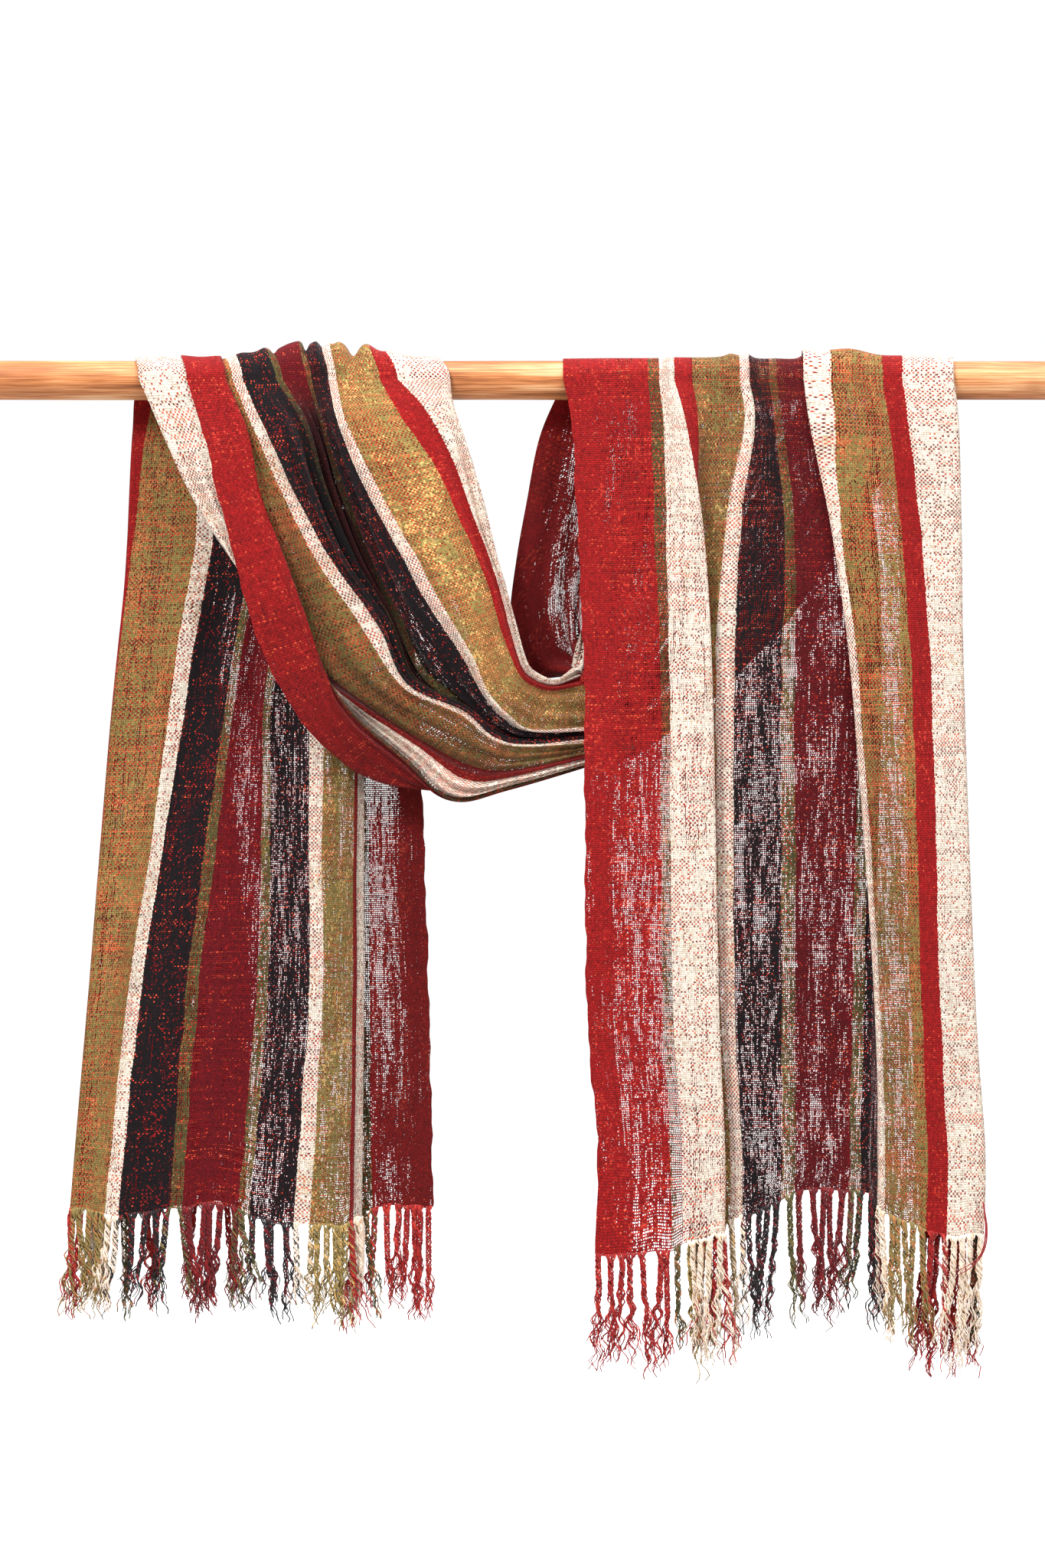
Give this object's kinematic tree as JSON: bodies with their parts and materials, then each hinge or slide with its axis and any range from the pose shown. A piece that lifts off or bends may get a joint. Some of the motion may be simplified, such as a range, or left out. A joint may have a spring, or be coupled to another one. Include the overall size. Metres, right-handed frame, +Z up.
{
  "type": "silk scarf hung over a wooden pole",
  "caption": "Long striped silk scarf in red, olive, cream and black, draped in a swag over a round wooden pole, with knotted fringe at both hems.",
  "frame": {"origin": "middle of the pole's axis", "axes": "+X along the pole towards the viewer's right, +Z up, -Y towards the viewer of the picture"},
  "size_m": [0.96, 0.0816, 0.8471],
  "materials": {
    "pole_wood": "satin, honey brown with a long grain",
    "striped_silk": "raw silk with a soft sheen, lengthwise stripes, some of them open mesh",
    "fringe_yarn": "loose twisted yarn"
  },
  "bodies": {
    "root": {"pole": "pole_wood", "left_tail": "striped_silk", "swag": "striped_silk", "riser": "striped_silk", "right_tail": "striped_silk", "left_fringe": "fringe_yarn", "right_fringe": "fringe_yarn"}
  },
  "joints": []
}
